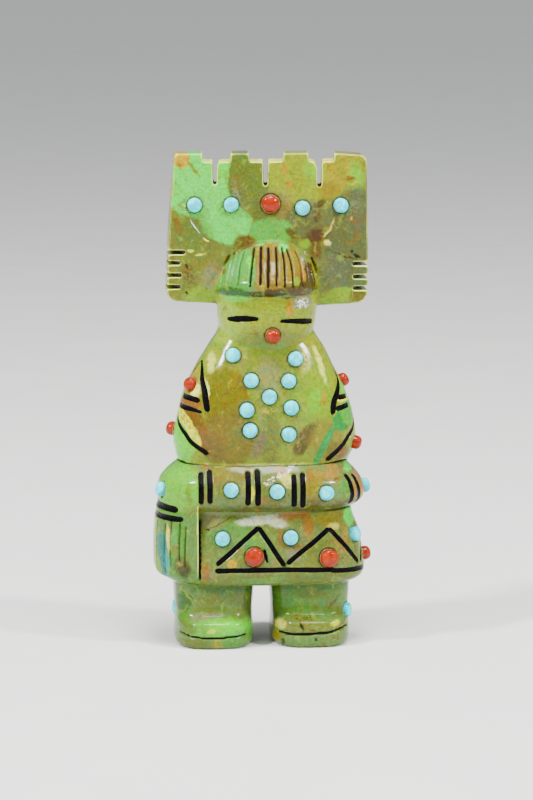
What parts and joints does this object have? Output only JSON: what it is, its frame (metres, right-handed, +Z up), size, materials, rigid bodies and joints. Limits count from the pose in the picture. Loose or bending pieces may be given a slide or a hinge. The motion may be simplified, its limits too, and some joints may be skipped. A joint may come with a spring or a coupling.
{
  "type": "carved stone fetish figure",
  "caption": "Small standing figure carved from one green stone, with a stepped headdress, engraved black lines and round turquoise and coral cabochons. It stands on its boots.",
  "frame": {"origin": "on the ground, under the middle of the figure's bounding box", "axes": "+Z up along the figure, and the face looks along -Y, so the thickness runs along Y"},
  "size_m": [0.0353, 0.0193, 0.0798],
  "materials": {
    "green_stone": "polished",
    "turquoise": "polished",
    "coral": "polished",
    "line_ink": "gloss",
    "setting_glue": "gloss"
  },
  "bodies": {
    "root": {"arm_coral_1": "coral", "arm_coral_2": "coral", "arm_coral_3": "coral", "arm_coral_4": "coral", "belt_turquoise_1": "turquoise", "belt_turquoise_2": "turquoise", "belt_turquoise_3": "turquoise", "belt_turquoise_4": "turquoise", "belt_turquoise_5": "turquoise", "chest_turquoise_1": "turquoise", "chest_turquoise_2": "turquoise", "chest_turquoise_3": "turquoise", "chest_turquoise_4": "turquoise", "chest_turquoise_5": "turquoise", "chest_turquoise_6": "turquoise", "chest_turquoise_7": "turquoise", "chest_turquoise_8": "turquoise", "chest_turquoise_9": "turquoise", "headdress_coral": "coral", "headdress_turquoise_1": "turquoise", "headdress_turquoise_2": "turquoise", "headdress_turquoise_3": "turquoise", "headdress_turquoise_4": "turquoise", "leg_turquoise_1": "turquoise", "leg_turquoise_2": "turquoise", "mouth_coral": "coral", "skirt_coral": "coral", "skirt_coral_large_1": "coral", "skirt_coral_large_2": "coral", "skirt_turquoise_1": "turquoise", "skirt_turquoise_2": "turquoise", "skirt_turquoise_3": "turquoise", "stone_figure": "green_stone"}
  },
  "joints": []
}
